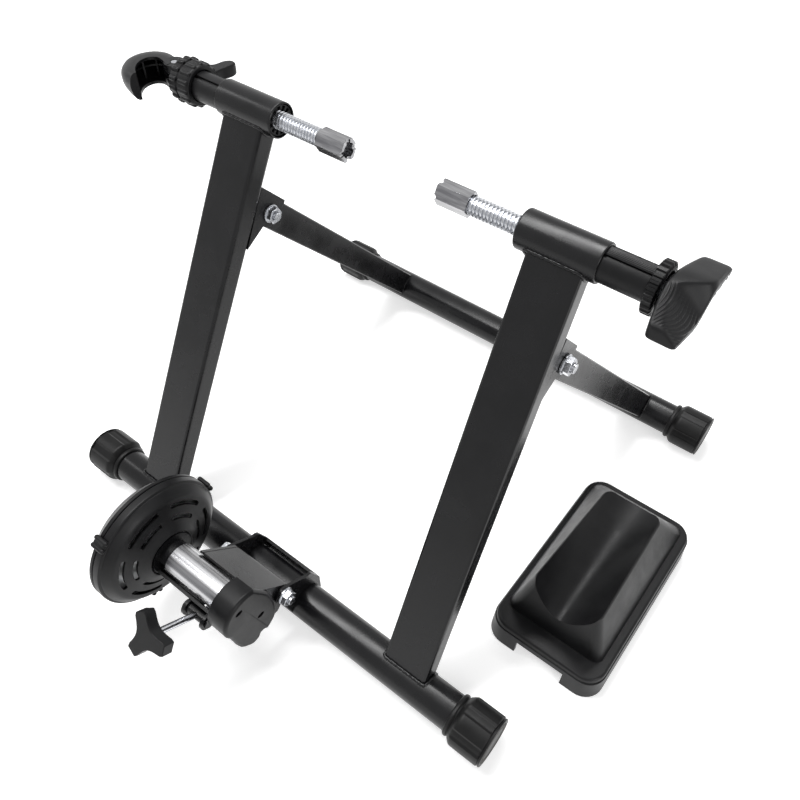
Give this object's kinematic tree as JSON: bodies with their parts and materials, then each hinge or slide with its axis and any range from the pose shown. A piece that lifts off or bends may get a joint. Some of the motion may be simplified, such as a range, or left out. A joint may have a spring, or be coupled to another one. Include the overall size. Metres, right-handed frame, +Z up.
{
  "type": "magnetic bike trainer",
  "caption": "Folding magnetic bike trainer: tube frame with axle clamps, hinged roller brake with tension knob, and a loose front wheel riser block.",
  "frame": {"origin": "middle of the footprint of the whole set, trainer and riser block together, on the floor", "axes": "+X along the rear axle from the lever side to the handle side, +Y from the roller towards the bicycle's front wheel, +Z up"},
  "size_m": [0.5832, 0.5842, 0.3912],
  "materials": {
    "black_paint": "satin black powder coat",
    "black_rubber": "matt moulded rubber",
    "zinc_steel": "bright zinc plating",
    "chrome": "polished chrome plating",
    "steel": "turned steel",
    "aluminium": "machined aluminium",
    "black_plastic": "moulded black plastic with a fine grain"
  },
  "bodies": {
    "main_frame": {"main_tube": "black_paint", "main_cap_left": "black_rubber", "main_cap_right": "black_rubber", "upright_left": "black_paint", "upright_right": "black_paint", "barrel_left": "black_paint", "barrel_right": "black_paint", "hinge_bracket_left": "black_paint", "hinge_bracket_right": "black_paint", "pivot_left_bolt": "zinc_steel", "pivot_left_nut": "zinc_steel", "pivot_right_bolt": "zinc_steel", "pivot_right_nut": "zinc_steel", "left_sleeve": "black_plastic", "right_sleeve": "black_plastic", "roller_mount": "black_paint", "roller_hinge_bolt": "zinc_steel", "roller_hinge_nut": "zinc_steel"},
    "rear_stand": {"rear_tube": "black_paint", "leg_left": "black_paint", "leg_right": "black_paint", "rear_cap_left": "black_rubber", "rear_cap_right": "black_rubber"},
    "left_plunger": {"left_axle_cup": "chrome", "left_clamp_screw": "zinc_steel", "left_cam_pin": "zinc_steel"},
    "left_lever": {"left_cam_lever": "black_plastic"},
    "left_ring": {"left_ring_nut": "black_plastic"},
    "right_cup": {"right_axle_cup": "chrome"},
    "right_spindle": {"right_clamp_screw": "zinc_steel", "right_handle": "black_plastic"},
    "right_ring": {"right_lock_ring": "black_plastic"},
    "roller_unit": {"roller_frame": "black_paint", "end_cap": "black_plastic", "housing_front": "black_plastic", "housing_back": "black_plastic", "housing_clip_1": "black_plastic", "housing_clip_2": "black_plastic", "housing_clip_3": "black_plastic", "magnet_plate": "steel", "bearing_left": "steel", "bearing_right": "steel"},
    "roller_turning": {"roller": "steel", "roller_shaft": "steel", "flywheel_rotor": "aluminium"},
    "tension_trunnion": {"tension_nut": "black_paint"},
    "tension_tip": {"tip_pad": "zinc_steel"},
    "tension_spindle": {"tension_screw": "zinc_steel", "tension_knob": "black_plastic"},
    "wheel_riser": {"riser_block": "black_plastic"}
  },
  "joints": [
    {"name": "support_fold", "type": "hinge", "parent": "main_frame", "child": "rear_stand", "pos_m": [-0.00821, 0.02448, 0.285], "axis": [1, 0, 0], "range_deg": [-69.4, 0]},
    {"name": "left_lever_flip", "type": "hinge", "parent": "left_plunger", "child": "left_lever", "pos_m": [-0.24621, 0.03808, 0.3717], "axis": [0, 0, 1], "range_deg": [-90, 0]},
    {"name": "left_plunge", "type": "slide", "parent": "main_frame", "child": "left_plunger", "axis": [1, 0, 0], "range_m": [-0.012, 0]},
    {"name": "left_ring_turn", "type": "hinge", "parent": "main_frame", "child": "left_ring", "pos_m": [-0.22471, 0.03808, 0.3717], "axis": [1, 0, 0], "continuous": true},
    {"name": "right_handle_turn", "type": "hinge", "parent": "right_cup", "child": "right_spindle", "pos_m": [0.22409, 0.03808, 0.3717], "axis": [1, 0, 0], "range_deg": [0, 4800]},
    {"name": "right_travel", "type": "slide", "parent": "main_frame", "child": "right_cup", "axis": [1, 0, 0], "range_m": [0, 0.04]},
    {"name": "right_ring_turn", "type": "hinge", "parent": "right_cup", "child": "right_ring", "pos_m": [0.20579, 0.03808, 0.3717], "axis": [1, 0, 0], "continuous": true},
    {"name": "roller_swing", "type": "hinge", "parent": "main_frame", "child": "roller_unit", "pos_m": [-0.00321, -0.16892, 0.0655], "axis": [1, 0, 0], "range_deg": [-20, 0]},
    {"name": "nut_swivel", "type": "hinge", "parent": "roller_unit", "child": "tension_trunnion", "pos_m": [-0.00471, -0.23142, 0.084], "axis": [1, 0, 0], "range_deg": [0, 8.42]},
    {"name": "screw_advance", "type": "slide", "parent": "tension_trunnion", "child": "tension_tip", "axis": [0, 0.8085, -0.5885], "range_m": [0, 0.00604]},
    {"name": "knob_turn", "type": "hinge", "parent": "tension_tip", "child": "tension_spindle", "pos_m": [-0.00471, -0.23142, 0.084], "axis": [0, 0.8085, -0.5885], "range_deg": [0, 1736]},
    {"name": "roller_spin", "type": "hinge", "parent": "roller_unit", "child": "roller_turning", "pos_m": [-0.00821, -0.20852, 0.0935], "axis": [1, 0, 0], "continuous": true},
    {"name": "riser_lift", "type": "slide", "parent": "main_frame", "child": "wheel_riser", "axis": [0, 0, 1], "range_m": [0, 0.2]}
  ],
  "couplings": [
    {"joint": "left_lever_flip", "follows": "left_plunge", "rad_per_m": 130.9},
    {"joint": "right_travel", "follows": "right_handle_turn", "m_per_rad": 0.0004774},
    {"joint": "knob_turn", "follows": "roller_swing", "ratio": -86.796},
    {"joint": "nut_swivel", "follows": "roller_swing", "ratio": -0.42013},
    {"joint": "screw_advance", "follows": "roller_swing", "m_per_rad": -0.017268}
  ]
}
